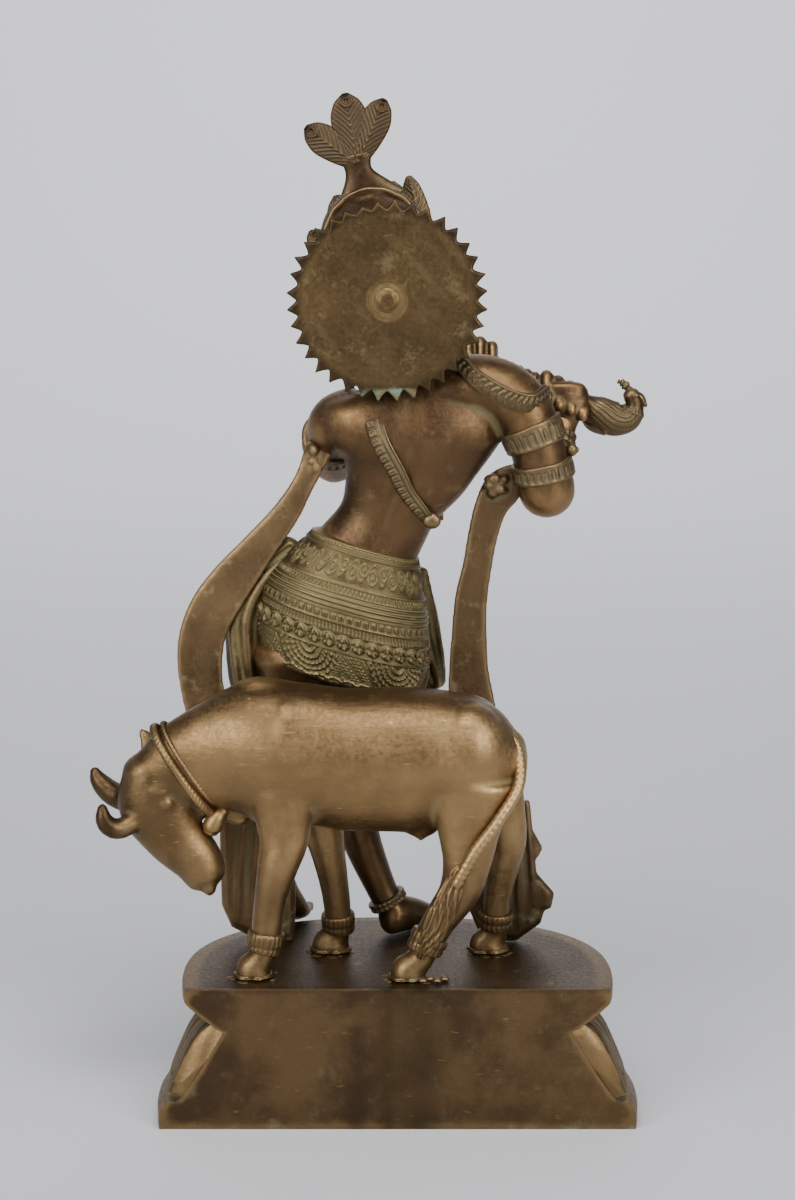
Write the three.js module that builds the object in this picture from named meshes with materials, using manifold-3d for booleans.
// A bronze deity playing a flute, with a cow behind the legs and a rayed halo, on a lotus plinth.
// Millimetres, +Z up. +X is the deity's right-hand side and +Y is the way the deity faces.
// The origin is the middle of the plinth's flat underside.

import * as THREE from 'three';
import Module from 'manifold-3d';
import { mergeVertices } from 'three/addons/utils/BufferGeometryUtils.js';

const wasm = await Module();
wasm.setup();

// Driving dimensions
const TOTAL_HEIGHT = 560;
const PLINTH_HEIGHT = 81;
const PLINTH_CENTRE_Y = -40;
const PLINTH_BACK_Y = -69;
const PLINTH_DEPTH_SHARE = 0.82;
const PLINTH_ROUNDNESS = 2.4;
const PLINTH_SIDES = 24;
const PETALS = 13;
const JOINT_GAP = 0.3;
const JOIN_TOLERANCE = 0.3;
const FLOOR = PLINTH_HEIGHT + JOINT_GAP;

const HALO_CENTRE = [-5.5, -14.2, 450.3];
const HALO_TIP_RADIUS = 55;
const HALO_VALLEY_RADIUS = 49;
const HALO_TEETH = 36;
const HALO_THICKNESS = 4;
const BOSS_RADIUS = 8;

const HEAD_CENTRE = [-7, 21, 455];
const HEAD_TILT = THREE.MathUtils.degToRad(12);
const CREST_THICKNESS = 6;
const FLUTE_RADIUS = 5.5;
const SCARF_THICKNESS = 4.5;
const COW_Y = -27;

const X_AXIS = new THREE.Vector3(1, 0, 0);
const Y_AXIS = new THREE.Vector3(0, 1, 0);
const Z_AXIS = new THREE.Vector3(0, 0, 1);
const SQUARE = Math.SQRT2;
const FULL_CAP_SIDES = 8;

const BODY_BRONZE = { color: 0x6b4a2a, roughness: 0.42, metalness: 0.9 };
const COW_BRONZE = { color: 0x8a6a3e, roughness: 0.4, metalness: 0.9 };
const HALO_BRONZE = { color: 0x665033, roughness: 0.5, metalness: 0.85 };
const PLINTH_BRONZE = { color: 0x5d4427, roughness: 0.5, metalness: 0.85 };

// A closed three.js geometry as a solid that can be joined and cut
function solidOf(geometry) {
  const bare = new THREE.BufferGeometry();
  bare.setAttribute('position', geometry.getAttribute('position').clone());
  if (geometry.index) bare.setIndex(geometry.index.clone());
  const merged = mergeVertices(bare, 1e-4);
  const corners = merged.index.array;
  const triangles = [];
  for (let i = 0; i < corners.length; i += 3) {
    const [a, b, c] = corners.slice(i, i + 3);
    if (a !== b && b !== c && c !== a) triangles.push(a, b, c);
  }
  if (signedVolume(merged.attributes.position, triangles) < 0) triangles.reverse();
  return new wasm.Manifold(new wasm.Mesh({
    numProp: 3,
    vertProperties: new Float32Array(merged.attributes.position.array),
    triVerts: new Uint32Array(triangles),
    tolerance: JOIN_TOLERANCE,
  }));
}

function signedVolume(position, triangles) {
  const corner = [new THREE.Vector3(), new THREE.Vector3(), new THREE.Vector3()];
  let volume = 0;
  for (let i = 0; i < triangles.length; i += 3) {
    corner.forEach((point, k) => point.fromBufferAttribute(position, triangles[i + k]));
    volume += corner[0].dot(corner[1].cross(corner[2])) / 6;
  }
  return volume;
}

// Joins solids as one casting, and fills the closed pockets that overlapping forms leave inside it
function join(solids) {
  const shells = wasm.Manifold.union(solids).decompose().filter((shell) => shell.volume() > 0);
  return wasm.Manifold.union(shells);
}

function meshOf(name, solid, finish) {
  const { vertProperties, triVerts } = solid.getMesh();
  const geometry = new THREE.BufferGeometry();
  geometry.setAttribute('position', new THREE.BufferAttribute(vertProperties, 3));
  geometry.setIndex(new THREE.BufferAttribute(triVerts, 1));
  geometry.computeVertexNormals();
  const mesh = new THREE.Mesh(geometry, new THREE.MeshStandardMaterial(finish));
  mesh.name = name;
  return mesh;
}

// A closed skin over a row of rings. Each ring has a centre, two half axes and an optional outline
function skin(rings, sides, phase = 0) {
  const profile = rings.map((ring, k) => new THREE.Vector2(ring.point ? 0 : 1, k));
  const geometry = new THREE.LatheGeometry(profile, sides, phase);
  const position = geometry.getAttribute('position');
  const vertex = new THREE.Vector3();
  for (let i = 0; i < position.count; i++) {
    vertex.fromBufferAttribute(position, i);
    const ring = rings[Math.round(vertex.y)];
    const angle = Math.atan2(vertex.x, vertex.z);
    const swell = ring.swell ? ring.swell(angle) : 0;
    const place = ring.centre.clone();
    if (!ring.point) {
      place.addScaledVector(ring.wide, vertex.x * (ring.half[0] + swell));
      place.addScaledVector(ring.deep, vertex.z * (ring.half[1] + swell));
    }
    position.setXYZ(i, place.x, place.y, place.z);
  }
  return solidOf(geometry);
}

// A limb through stations of [x, y, z, half width, half depth]. The width lies along "across",
// the ends are rounded by "cap" times the half depth, swell(t, angle) adds relief in millimetres,
// each of "bands" is [place, half length, thickness], the first two as shares of the way along, and
// "square" is a direction that all the rings are square to, where they don't follow the path
function limb(stations, options = {}) {
  const { across = X_AXIS, sides = 10, steps = 1, cap = 0.6, swell, bands = [], phase = 0, square } = options;
  const path = new THREE.CatmullRomCurve3(stations.map(([x, y, z]) => new THREE.Vector3(x, y, z)));
  const sizes = new THREE.CatmullRomCurve3(stations.map(([, , , w, d]) => new THREE.Vector3(w, d ?? w, 0)));
  const rings = [];
  for (const [t, thick] of ringPlaces((stations.length - 1) * steps, bands)) {
    const along = square ?? path.getTangent(t);
    const wide = across.clone().addScaledVector(along, -across.dot(along)).normalize();
    const deep = new THREE.Vector3().crossVectors(along, wide);
    const size = sizes.getPoint(t);
    rings.push({
      centre: path.getPoint(t), along, wide, deep, half: [size.x + thick, size.y + thick],
      swell: swell && ((angle) => swell(t, angle)),
    });
  }
  const full = sides >= FULL_CAP_SIDES;
  const [start, end] = [capRings(rings[0], -cap, full), capRings(rings[rings.length - 1], cap, full)];
  return skin([...start, ...rings, ...end.reverse()], sides, phase);
}

// Where a limb's rings lie along it, with a square step up and down at each band
function ringPlaces(count, bands) {
  const places = [];
  for (let k = 0; k <= count; k++) {
    const covered = bands.some(([at, half]) => Math.abs(k / count - at) < half + 0.02);
    if (!covered) places.push([k / count, 0]);
  }
  for (const [at, half, thick] of bands) {
    places.push([at - half, 0], [at - half, thick], [at + half, thick], [at + half, 0]);
  }
  return places.sort((a, b) => a[0] - b[0]);
}

// The pole past the end of a limb, and on a thick limb one ring between them
function capRings(end, cap, full) {
  const reach = cap * Math.min(...end.half);
  const at = (share) => end.centre.clone().addScaledVector(end.along, reach * share);
  const pole = { point: true, centre: at(1) };
  return full ? [pole, { ...end, centre: at(0.7), half: end.half.map((half) => half * 0.72) }] : [pole];
}

function ribbon(stations, options = {}) {
  const corners = stations.map(([x, y, z, w, d = SCARF_THICKNESS / 2]) => [x, y, z, w * SQUARE, d * SQUARE]);
  return limb(corners, { sides: 4, phase: Math.PI / 4, cap: 0.3, ...options });
}

function ball([x, y, z], [rx, ry, rz], around = 10, down = 6) {
  return solidOf(new THREE.SphereGeometry(1, around, down).scale(rx, ry, rz).translate(x, y, z));
}

// A flat plate from an outline of [x, z] points, standing upright across Y
function plate(outline, thickness, middleY) {
  const shape = new THREE.Shape(outline.map(([x, z]) => new THREE.Vector2(x, z)));
  const geometry = new THREE.ExtrudeGeometry(shape, { depth: thickness, bevelEnabled: false });
  return solidOf(geometry.rotateX(Math.PI / 2).translate(0, middleY + thickness / 2, 0));
}

// Plinth

function plinthRing(z, halfWidth) {
  const half = [halfWidth, halfWidth * PLINTH_DEPTH_SHARE];
  return { centre: new THREE.Vector3(0, PLINTH_CENTRE_Y, z), wide: X_AXIS, deep: Y_AXIS, half };
}

// How far a superellipse reaches past a circle at an angle
function squareness(angle) {
  const [s, c] = [Math.abs(Math.sin(angle)), Math.abs(Math.cos(angle))];
  return (s ** PLINTH_ROUNDNESS + c ** PLINTH_ROUNDNESS) ** (-1 / PLINTH_ROUNDNESS);
}

function plinthBody() {
  const profile = [[0, 133.5], [10, 133.5], [15, 130], [15.5, 124], [29, 119], [42, 109], [56, 99],
    [66, 110], [72, 118], [79, 119], [PLINTH_HEIGHT, 117]];
  const rings = profile.map(([z, half]) => {
    const ring = plinthRing(z, half);
    return { ...ring, swell: (angle) => half * (squareness(angle) - 1) };
  });
  const bottom = { point: true, centre: new THREE.Vector3(0, PLINTH_CENTRE_Y, 0) };
  const top = { point: true, centre: new THREE.Vector3(0, PLINTH_CENTRE_Y, PLINTH_HEIGHT) };
  return skin([bottom, ...rings, top], PLINTH_SIDES);
}

// One down-turned lotus petal, bulging out below the waist and sunk into the plinth behind
function petal(angle) {
  const reach = squareness(angle);
  const outward = new THREE.Vector3(Math.sin(angle) * reach, PLINTH_DEPTH_SHARE * Math.cos(angle) * reach, 0);
  const tangent = new THREE.Vector3(-outward.y, outward.x, 0).normalize();
  const profile = [[95.6, 57, 11], [107.6, 49, 16.5], [114.6, 33, 17], [120.6, 16, 5]];
  const stations = profile.map(([radius, z, half]) => [
    outward.x * radius, PLINTH_CENTRE_Y + outward.y * radius, z, half, 8]);
  return limb(stations, { across: tangent, sides: 6, cap: 0.2 });
}

function plinth() {
  const petals = [];
  for (let i = 0; i < PETALS; i++) petals.push(petal(Math.PI * 1.16 * (i / (PETALS - 1) - 0.5)));
  const back = new THREE.BoxGeometry(400, 200, 400).translate(0, PLINTH_BACK_Y - 100, 0);
  return join([plinthBody(), ...petals]).subtract(solidOf(back));
}

// Halo

function haloOutline() {
  const points = [];
  for (let i = 0; i < HALO_TEETH; i++) {
    for (const [share, radius] of [[0, 0], [0.32, 0.4], [0.5, 1], [0.68, 0.4]]) {
      const turn = (2 * Math.PI * (i + share)) / HALO_TEETH;
      const reach = HALO_VALLEY_RADIUS + (HALO_TIP_RADIUS - HALO_VALLEY_RADIUS) * radius;
      points.push([HALO_CENTRE[0] + reach * Math.sin(turn), HALO_CENTRE[2] + reach * Math.cos(turn)]);
    }
  }
  return points;
}

// A ring standing upright across Y, from a section of [radius, y] points
function uprightRing(section, around) {
  const outline = [...section, section[0]].map(([r, y]) => new THREE.Vector2(r, y));
  return solidOf(new THREE.LatheGeometry(outline, around).translate(...HALO_CENTRE));
}

function halo() {
  const front = HALO_THICKNESS / 2;
  const disc = plate(haloOutline(), HALO_THICKNESS, HALO_CENTRE[1]);
  const rim = uprightRing([[41, front - 1], [46, front - 1], [45, front + 1.8], [42, front + 1.8]], 14);
  const hole = new THREE.CylinderGeometry(BOSS_RADIUS, BOSS_RADIUS, 20, 12).translate(...HALO_CENTRE);
  return disc.add(rim).subtract(solidOf(hole));
}

// Deity

const headUp = new THREE.Vector3(-Math.sin(HEAD_TILT), 0, Math.cos(HEAD_TILT));
const headRight = new THREE.Vector3(Math.cos(HEAD_TILT), 0, Math.sin(HEAD_TILT));

// A place on the head: right, forward and up from its centre
function onHead([right, forward, up]) {
  const place = new THREE.Vector3(...HEAD_CENTRE);
  return place.addScaledVector(headRight, right).addScaledVector(Y_AXIS, forward)
    .addScaledVector(headUp, up).toArray();
}

function headLimb(stations, options) {
  const placed = stations.map(([r, f, u, w, d]) => [...onHead([r, f, u]), w, d]);
  return limb(placed, { across: headRight, ...options });
}

function skull() {
  return headLimb([[0, 12, -37, 9, 9], [0, 9, -27, 18, 17], [0, 3, -12, 26, 27], [0, 0, 6, 30, 31],
    [0, -1, 24, 30, 31], [0, -1, 38, 25, 26], [0, -1, 48, 15, 16]], { sides: 8, cap: 0.45 });
}

function face() {
  const nose = headLimb([[0, 28, 6, 2.6, 3], [0, 31, -4, 3.4, 4], [0, 33, -11, 5, 4]], { sides: 5 });
  const eye = (side) => ball(onHead([side * 12, 25.5, 2]), [7, 4.5, 3.4], 6, 4);
  const lips = headLimb([[-8, 23.5, -18.5, 2.2], [0, 28, -18.5, 3.4], [8, 23.5, -18.5, 2.2]],
    { across: headUp, sides: 5 });
  const chin = ball(onHead([0, 20, -31]), [7, 7, 5.5], 6, 4);
  return [nose, eye(1), eye(-1), lips, chin];
}

function ear(side) {
  const lobe = headLimb([[side * 29, 2, 10, 3.5, 5], [side * 31, 2, 0, 3.5, 6], [side * 31, 4, -12, 3, 4]],
    { sides: 4 });
  const drop = ball(onHead([side * 32, 5, -20]), [7, 7, 8], 6, 4);
  return [lobe, drop];
}

// The tiara: a band round the brow, an upright leafed front and a rim that arches over the hair
function crown() {
  const brow = headLimb([[0, 0, 15.5, 32, 32.5], [0, 0, 24.5, 32, 32.5]], { sides: 8, cap: 0 });
  const arch = [];
  for (let i = 0; i <= 6; i++) {
    const turn = Math.PI * (i / 6 - 0.5);
    arch.push([...onHead([27.5 * Math.sin(turn), -6, 24 + 29.5 * Math.cos(turn)]), 4, 2]);
  }
  const leaf = (base, tip, top, half) => headLimb([[base, 17, 22, half * 0.8, 3],
    [(base + tip) / 2, 19, (22 + top) / 2, half, 3], [tip, 17, top, half * 0.3, 2]], { sides: 4 });
  const leaves = [[-29, -34, 36, 6], [-15, -16, 52, 9], [0, 0, 56, 11], [15, 15, 53, 9], [26, 25, 54, 6.5]];
  return [brow, limb(arch, { across: Y_AXIS, sides: 4 }), ...leaves.map((sizes) => leaf(...sizes))];
}

// Three peacock feathers on one flaring stem, leaning with the head
function crest() {
  const y = HEAD_CENTRE[1] - 1;
  const stem = limb([[-15, y, 500, 21, 5], [-18, y, 508, 14, 4.5], [-21, y, 517, 7.5, 3.4],
    [-23, y, 526, 9, 3]], { sides: 6, cap: 0.2 });
  const feather = (tip, half) => {
    const [x, z] = [-22, 521];
    const at = (share) => [x + (tip[0] - x) * share, z + (tip[1] - z) * share];
    const side = new THREE.Vector3(tip[1] - z, 0, x - tip[0]).normalize();
    const shape = [[0, 0.45], [0.35, 0.85], [0.65, 1], [0.86, 0.72], [0.98, 0.16]];
    const stations = shape.map(([share, wide]) => {
      const [left, height] = at(share);
      return [left, y, height, half * wide, CREST_THICKNESS / 2];
    });
    return limb(stations, { across: side, sides: 6, cap: 0.2 });
  };
  return [stem, feather([-50, 541], 8.5), feather([-28.5, TOTAL_HEIGHT], 10), feather([-7, 556], 8.5)];
}

function head() {
  return [skull(), ...face(), ...ear(1), ...ear(-1), ...crown(), ...crest()];
}

// The spigot behind the head that holds the halo, with its hammered-over end
function spigot() {
  const [x, y, z] = HALO_CENTRE;
  const radius = BOSS_RADIUS - JOINT_GAP;
  return limb([[x, y + 14, z, radius], [x, y - HALO_THICKNESS / 2 - 0.8, z, radius]],
    { sides: 12, cap: 0.3 });
}

// Trunk stations run from the waist to the neck: the waist leans left and the chest leans back right
const TRUNK = [[-19, 23, 304, 29, 22],
  [-9, 22, 321, 26, 19.5], [-3, 21, 336, 28, 20], [4, 20, 355, 38, 23], [7, 19, 374, 50, 25],
  [8, 19, 390, 49, 22], [7, 20, 402, 34, 18], [4, 22, 410, 18, 16]];

function trunk() {
  const neck = limb([[4, 21, 402, 17, 17], [1, 22, 416, 14.5, 15], [-2, 23, 432, 15, 16]], { sides: 7 });
  const chest = [-16, 28].map((x, i) => ball([x, 33, 378 + 3 * i], [21, 12, 15], 7, 4));
  return [limb(TRUNK, { sides: 10, cap: 0.5 }), neck, ...chest];
}

// Cross ridges of the belts and, below them, upright pleats
const BELT_SHARE = 0.66;
const SKIRT_SIDES = 14;
const SKIRT_STEPS = 2;
const HIP_TILT = THREE.MathUtils.degToRad(16);
const SKIRT = [[-31, 26, 236, 47, 31], [-30.5, 26, 247, 49.5, 32.5], [-30, 26, 261, 50, 33],
  [-28.5, 25, 276, 47.5, 31.5], [-25, 24, 290, 42, 28.5], [-20, 23, 304, 34.5, 24.5],
  [-17.5, 23, 311, 30.5, 22.5]];

function skirt() {
  const count = (SKIRT.length - 1) * SKIRT_STEPS;
  const relief = (t, angle) => {
    if (t < 1 - BELT_SHARE) return 1.2 * Math.cos(angle * SKIRT_SIDES / 2) + 1;
    return Math.round(t * count) % 2 ? 2.6 : 0.9;
  };
  const square = new THREE.Vector3(Math.sin(HIP_TILT), 0, Math.cos(HIP_TILT));
  return limb(SKIRT, { sides: SKIRT_SIDES, steps: SKIRT_STEPS, cap: 0.12, swell: relief, square });
}

// The knotted cloth over each hip and the pleats that fall between the legs
function hipCloths() {
  const left = limb([[-58, 28, 308, 8, 6], [-73, 29, 292, 10, 9], [-84, 30, 270, 12, 11],
    [-86, 30, 246, 10.5, 12], [-86, 30, 228, 9, 11]], { sides: 6 });
  const right = limb([[10, 44, 290, 7, 6], [15, 44, 265, 8, 8], [18, 42, 244, 8.5, 8], [20, 42, 226, 7, 7]],
    { sides: 5 });
  const pleats = [];
  for (let i = -2; i <= 2; i++) {
    const [x, drop] = [-24 + i * 6.5, 8 * Math.abs(i)];
    pleats.push(limb([[x, 57, 268, 3.5, 4], [x * 1.02 - 1, 61, 235, 4, 4.5],
      [x * 1.04 - 2, 62, 196 + drop, 4.6, 4.5]], { sides: 4 }));
  }
  const buckle = ball([-26, 59, 276], [11, 6, 11], 7, 4);
  return [left, right, ...pleats, buckle];
}

// The sacred cord: a flat band from the left shoulder to the right waist, behind and before
function sash() {
  const behind = [[-15, 4, 393, 4.2], [-10, -5, 374, 4.2], [-1, -4.4, 357, 4.2], [6, -1, 343, 4.2],
    [15, 3, 331, 4.2], [20, 12, 325, 4]];
  const before = [[-15, 36, 395, 4], [-6, 45, 378, 4], [6, 42, 360, 4], [14, 40, 344, 4], [20, 34, 332, 4],
    [22, 24, 325, 4]];
  return [behind, before].map((route) => ribbon(route.map((station) => [...station, 2.2])));
}

function necklaces() {
  return [[21, 12, 2.6], [31, 24, 2.2]].map(([half, drop, thick]) => {
    const stations = [];
    for (let i = 0; i <= 6; i++) {
      const turn = Math.PI * (i / 6 - 0.5);
      const [side, low] = [Math.sin(turn), Math.cos(turn)];
      stations.push([3 + half * side, 26 + 20 * low ** 0.5, 404 - drop * low, thick]);
    }
    return limb(stations, { across: Z_AXIS, sides: 4 });
  });
}

// Four fingers side by side, each bent over the flute from the palm to the tip
function fingers(knuckles, bend, tip, spread, half) {
  const made = [];
  for (let i = 0; i < 4; i++) {
    const route = [knuckles, bend, tip].map(([x, y, z]) => [
      x + spread[0] * i, y + spread[1] * i, z + spread[2] * i, half, half]);
    made.push(limb(route, { sides: 4, cap: 0.8, phase: Math.PI / 4 }));
  }
  return made;
}

function rightArm() {
  const upper = limb([[26, 18, 396, 19, 19], [48, 17, 399.5, 18, 18], [66, 16, 390, 17.5, 17.5],
    [77, 15, 368, 15.6, 15.6], [83, 17, 342, 15.6, 16]],
  { across: Y_AXIS, sides: 8, cap: 1, bands: [[0.7, 0.045, 2.2], [0.88, 0.03, 2.2]] });
  const forearm = limb([[82, 19, 339, 14, 14], [86, 31, 352, 11, 11], [91, 42, 368, 8, 8],
    [93, 46, 378, 8, 7]], { sides: 6, bands: [[0.66, 0.07, 1.8]] });
  const palm = limb([[93, 45, 374, 8, 6], [94, 46, 386, 12.5, 6.5], [94, 47, 396, 12, 5.5]], { sides: 5 });
  const thumb = limb([[84, 46, 380, 4.2], [80, 52, 385, 3.8], [80, 60, 389, 3.2]], { sides: 4 });
  const grip = fingers([84, 45, 393], [84, 52, 401.5], [84, 61, 392], [6.6, -0.4, -2.9], 3.7);
  return [upper, forearm, palm, thumb, ...grip];
}

// The collar-like ornament that lies over the raised right shoulder
function epaulette() {
  const route = [[34, 3, 415, 3.2], [45, -1.5, 405, 4], [60, -1, 396, 4.4], [73, 1, 393, 4],
    [82, 12, 398, 3.4]];
  return ribbon(route.map((station) => [...station, 2.2]), { across: new THREE.Vector3(0.3, 0, 1) });
}

function leftArm() {
  const upper = limb([[-26, 22, 381, 17, 18], [-33, 27, 377, 17, 17], [-37, 44, 365, 15, 15],
    [-36, 62, 352, 13.5, 13.5]], { sides: 8, cap: 0.9, bands: [[0.64, 0.08, 2]] });
  const forearm = limb([[-36, 63, 351, 12.5, 12.5], [-14, 68, 366, 11, 11], [12, 70, 386, 8, 8],
    [24, 69, 397, 7.5, 7]], { across: Y_AXIS, sides: 6, bands: [[0.68, 0.06, 1.8]] });
  const palm = limb([[22, 69, 396, 7, 6], [34, 69, 405, 7, 9], [47, 67, 405, 6, 9]],
    { across: Y_AXIS, sides: 5 });
  const grip = fingers([33, 67, 411], [33, 60, 425.5], [33, 52, 416], [6.8, -0.5, -2.7], 3.5);
  return [upper, forearm, palm, ...grip];
}

// The transverse flute, thin at the blown end, with a small bird as its finial
function flute() {
  const pipe = limb([[-20, 65, 436, 4.6, 4.6], [20, 63, 420, FLUTE_RADIUS, FLUTE_RADIUS],
    [106, 55, 386, FLUTE_RADIUS, FLUTE_RADIUS]], { across: Y_AXIS, sides: 7, cap: 0.4 });
  const bird = limb([[104, 55, 386, 5.4, 5.4], [113, 54, 381, 8, 8.5], [122, 54, 377, 8.4, 9.4],
    [130, 54, 378, 7.4, 8], [134, 54, 384.5, 5.6, 5.4], [132, 54, 391, 4.8, 4.6]],
  { across: Y_AXIS, sides: 7, cap: 0.7 });
  const beak = limb([[134, 54, 390, 3.4], [138, 54, 387.5, 2.6], [141, 54, 384, 1.2]], { sides: 4 });
  const comb = limb([[131, 54, 392, 2, 1.6], [127.5, 54, 397, 2.4, 1.6], [124.5, 54, 398.5, 1, 1]],
    { sides: 4 });
  return [pipe, bird, beak, comb];
}

function standingLeg() {
  const leg = limb([[-56, 28, 250, 27, 27], [-50, 30, 222, 24, 24], [-42, 32, 194, 18.5, 19],
    [-34, 33, 174, 14, 15], [-26, 29, 153, 12.5, 13.5], [-19, 27, 132, 10.8, 11.5],
    [-10, 26, 110, 9, 9.5], [-4, 26, 98, 8.5, 9.5]], { sides: 7, bands: [[0.965, 0.027, 3]] });
  const foot = limb([[-4, 23, 93, 9, 11.4], [6, 32, 91.5, 10, 9.8], [16, 42, 87.6, 11.4, 7],
    [23, 50, 85, 10.5, 4.6]], { across: new THREE.Vector3(1, -1, 0), sides: 7 });
  return [leg, foot];
}

function crossedLeg() {
  const leg = limb([[-10, 30, 250, 27, 27], [-13, 42, 220, 24, 24], [-24, 54, 196, 19, 19],
    [-34, 59, 178, 15, 15.5], [-49, 57, 154, 12, 13], [-63, 53, 132, 9.6, 10.6], [-71, 48, 115, 8.5, 9]],
  { sides: 7, bands: [[0.93, 0.027, 3]] });
  const foot = limb([[-69, 42, 112, 8, 7.5], [-66, 46, 100, 8.6, 7.5], [-61, 53, 87, 9.6, 6.5],
    [-60, 64, 85, 10, 4.6]], { sides: 7 });
  return [leg, foot];
}

// The long scarf that hangs from both elbows and stands on the plinth
function scarf() {
  const y = 20;
  const right = ribbon([[69, y, 351, 7], [59, y, 343, 10.5], [52, y, 331, 9.2], [47.5, y, 315, 8.3],
    [44.5, y, 298, 7.8], [41.5, y, 280, 8.5], [40.5, y, 260, 9.5], [40, y, 239, 11], [42, y - 1, 218, 13],
    [46, y - 4, 190, 15], [52, y - 8, 165, 17]]);
  const left = ribbon([[-43, y + 4, 366, 8], [-51.5, y, 347, 6], [-62, y, 328.5, 7.6], [-77.5, y, 309, 9.6],
    [-92, y, 291, 11.8], [-103, y, 275, 12.5], [-109.5, y, 259, 12.5], [-111.5, y, 243, 12.5],
    [-110, y, 225, 12], [-104, y - 2, 205, 13], [-95, y - 5, 184, 15], [-87, y - 8, 165, 17]]);
  return [right, left];
}

// The stepped, zigzag-edged ends of the scarf
function scarfEnds() {
  const right = [[38, 166], [67, 166], [83, 136], [74, 128], [89.5, 110], [88, 101], [84, 100], [82, 92],
    [68, FLOOR], [48, FLOOR], [46, 88], [38, 107]];
  const left = [[-101, 168], [-68, 168], [-60, 140], [-58, 110], [-59, FLOOR], [-74, FLOOR], [-86, 85],
    [-95, 90], [-100.5, 103], [-101, 130]];
  const folds = [];
  for (const [x, foot, side] of [[52, 84, 1], [68, 90, 1], [-89, 96, -1], [-72, 86, -1]]) {
    folds.push(ribbon([[x - side * 3, 12, 164, 2.6, 3.6], [x, 12, 130, 3.2, 3.6],
      [x + side * 2, 12, foot, 3.8, 3.6]]));
  }
  return [plate(right, 5, 12), plate(left, 5, 12), ...folds];
}

// Cuts a casting flat where it stands on the plinth
function stood(solid) {
  const ground = new THREE.BoxGeometry(400, 400, 100).translate(0, 0, FLOOR - 50);
  return solid.subtract(solidOf(ground));
}

function deity() {
  return stood(join([...trunk(), ...head(), spigot(), skirt(), ...hipCloths(), ...sash(), ...necklaces(),
    ...rightArm(), epaulette(), ...leftArm(), ...flute(), ...standingLeg(), ...crossedLeg(), ...scarf(),
    ...scarfEnds()]));
}

// Cow

function cowBody() {
  const y = COW_Y;
  const body = limb([[64, y, 196, 17, 19], [50, y, 197, 26, 33], [29, y, 197, 30, 40],
    [0, y, 199, 30.5, 40.5], [-30, y, 199, 30, 40], [-58, y, 201, 29, 41.5], [-80, y, 204, 26, 38.5],
    [-99, y, 201, 20.5, 32], [-118, y, 196, 17, 25], [-132, y, 189, 15, 19]],
  { across: Y_AXIS, sides: 12, cap: 0.45 });
  const hump = limb([[-95, y, 230, 6, 6], [-79, y, 237.6, 9, 8], [-56, y, 236, 8, 7]],
    { across: Y_AXIS, sides: 6 });
  const dewlap = limb([[-84, y, 168, 4, 8], [-98, y, 172, 3.5, 8], [-112, y, 172, 3, 6]],
    { across: Y_AXIS, sides: 5 });
  const udder = ball([13, y, 163], [11, 12, 8], 7, 4);
  return [body, hump, dewlap, udder];
}

function cowHead() {
  const y = COW_Y - 1;
  const skullForm = limb([[-137, y, 193, 14, 15], [-134, y, 175, 16, 20.5], [-124, y, 157, 14, 17.5],
    [-112, y, 143, 12.5, 14.5], [-107, y, 134.5, 12, 12.5]], { across: Y_AXIS, sides: 9, cap: 0.8 });
  const farHorn = limb([[-144, -20, 172, 7.5, 7.5], [-158, -15, 176, 7, 7], [-166, -13, 183, 5.4, 5.4],
    [-169, -13, 190, 2.6, 2.6]], { across: Y_AXIS, sides: 5 });
  const nearHorn = limb([[-142, -37, 168, 6, 6], [-153, -42, 163.5, 5.8, 5.8], [-160, -44, 168, 5.2, 5.2],
    [-161.5, -44, 177, 3, 3]], { across: Y_AXIS, sides: 5 });
  const ear = limb([[-134, y + 12, 190, 4.5, 3], [-137, y + 20, 201, 7.5, 3], [-143, y + 22, 211, 1.8, 1.4]],
    { across: new THREE.Vector3(1, 0.5, 0), sides: 5 });
  return [skullForm, farHorn, nearHorn, ear];
}

// The collar is a thick cord that slants down the neck to a bell at the throat
function cowCollar() {
  const stations = [];
  for (let i = 0; i <= 10; i++) {
    const turn = (i / 10) * 2 * Math.PI;
    const [drop, out] = [Math.cos(turn), Math.sin(turn)];
    stations.push([-118 - 15.5 * drop, COW_Y + 18 * out, 193 + 23.5 * drop, 2.6]);
  }
  const bell = ball([-100, COW_Y - 5, 166], [6.5, 6.5, 6.5], 7, 4);
  return [limb(stations, { across: Y_AXIS, sides: 5, cap: 0.2 }), bell];
}

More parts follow.
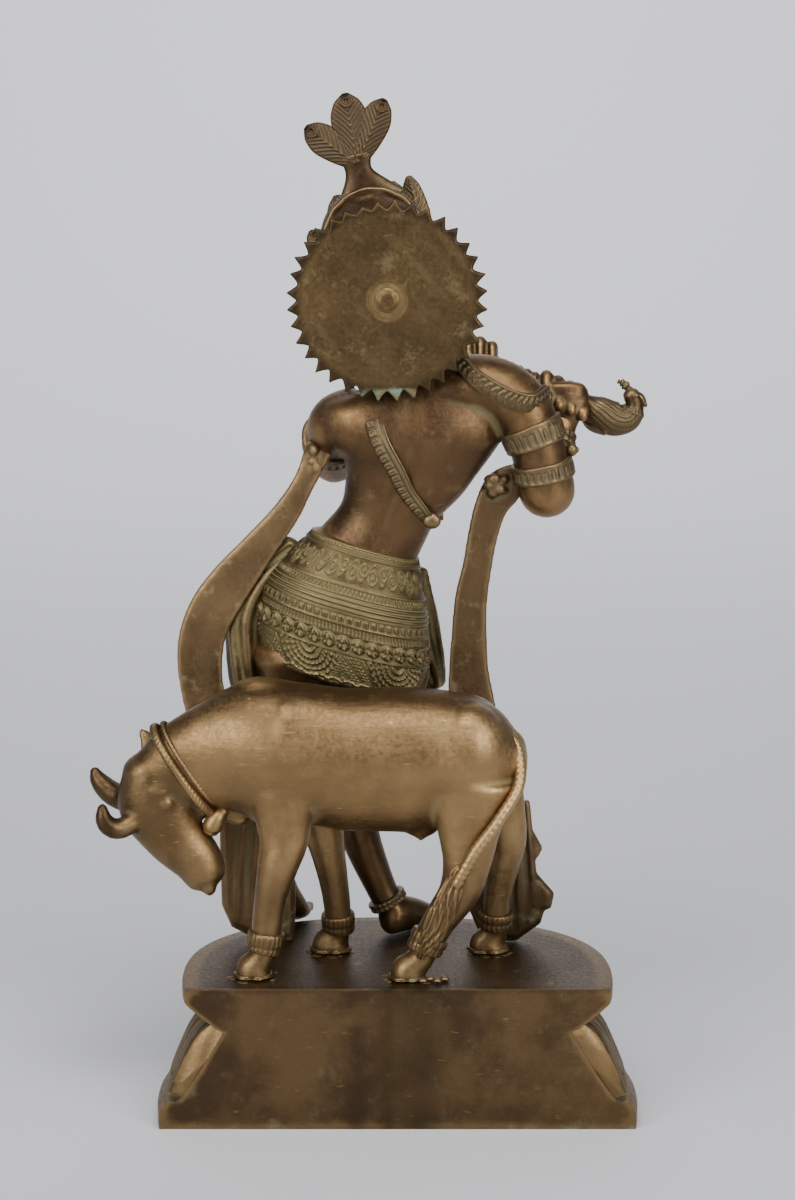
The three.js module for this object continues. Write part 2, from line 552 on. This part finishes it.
// A leg through [x, z, half] stations down to the fetlock, then a ring and a splayed hoof
function cowLeg(y, lean, stations, hoofX, hoofHalf) {
  const footY = y + lean;
  const leg = stations.map(([x, z, half], i) => [x, y + lean * (i / (stations.length - 1)), z, half,
    Math.min(half, 9 + half * 0.15)]);
  const [fetlock, , ring] = stations[stations.length - 1];
  const foot = [[(fetlock + hoofX) / 2 + 1, footY, 92, 7.4, 7.4], [hoofX, footY, FLOOR - 1, hoofHalf, 9.5]];
  return limb([...leg, ...foot], { sides: 7, bands: [[1 - 2.1 / (leg.length + 1), 0.045, ring * 0.22]] });
}

function cowLegs() {
  return [
    cowLeg(-43, -6, [[-63, 186, 19], [-62, 160, 14], [-65.5, 144, 11.5], [-70, 124, 9], [-73, 100, 8.2]],
      -79, 10.5),
    cowLeg(-12, 7, [[-48, 176, 16], [-42, 155, 12], [-38.5, 138, 9.5], [-35, 117, 8], [-33.5, 99, 7.6]],
      -37, 11.5),
    cowLeg(-44, -8, [[40, 190, 24], [39, 164, 17.5], [38, 146, 13.5], [34, 130, 11.5], [24, 115, 9.5],
      [16.5, 102, 8.6]], 6, 10),
    cowLeg(-12, 7, [[48, 188, 22], [57, 164, 15], [61, 148, 11.5], [59, 132, 9.5], [56.5, 115, 7.8],
      [55.5, 101, 7.8]], 52, 11.5),
  ];
}

function cowTail() {
  const rope = limb([[58, COW_Y - 4, 217, 4, 4], [66, -37, 206, 3.2, 3.2], [66, -48, 190, 3, 3],
    [55, -57, 173, 3, 3], [42, -61, 156, 3.2, 3.2], [32, -62, 138, 3.6, 3.6]], { sides: 4 });
  const tuft = limb([[33, -61, 142, 4, 4], [27, -61, 126, 6.5, 5], [20, -60, 110, 6, 5],
    [13, -60, 97, 2.5, 2.5]], { sides: 5 });
  return [rope, tuft];
}

function cow() {
  return stood(join([...cowBody(), ...cowHead(), ...cowCollar(), ...cowLegs(), ...cowTail()]));
}

const statue = new THREE.Group();
statue.add(meshOf('plinth', plinth(), PLINTH_BRONZE));
statue.add(meshOf('deity', deity(), BODY_BRONZE));
statue.add(meshOf('halo', halo(), HALO_BRONZE));
statue.add(meshOf('cow', cow(), COW_BRONZE));

export default statue;
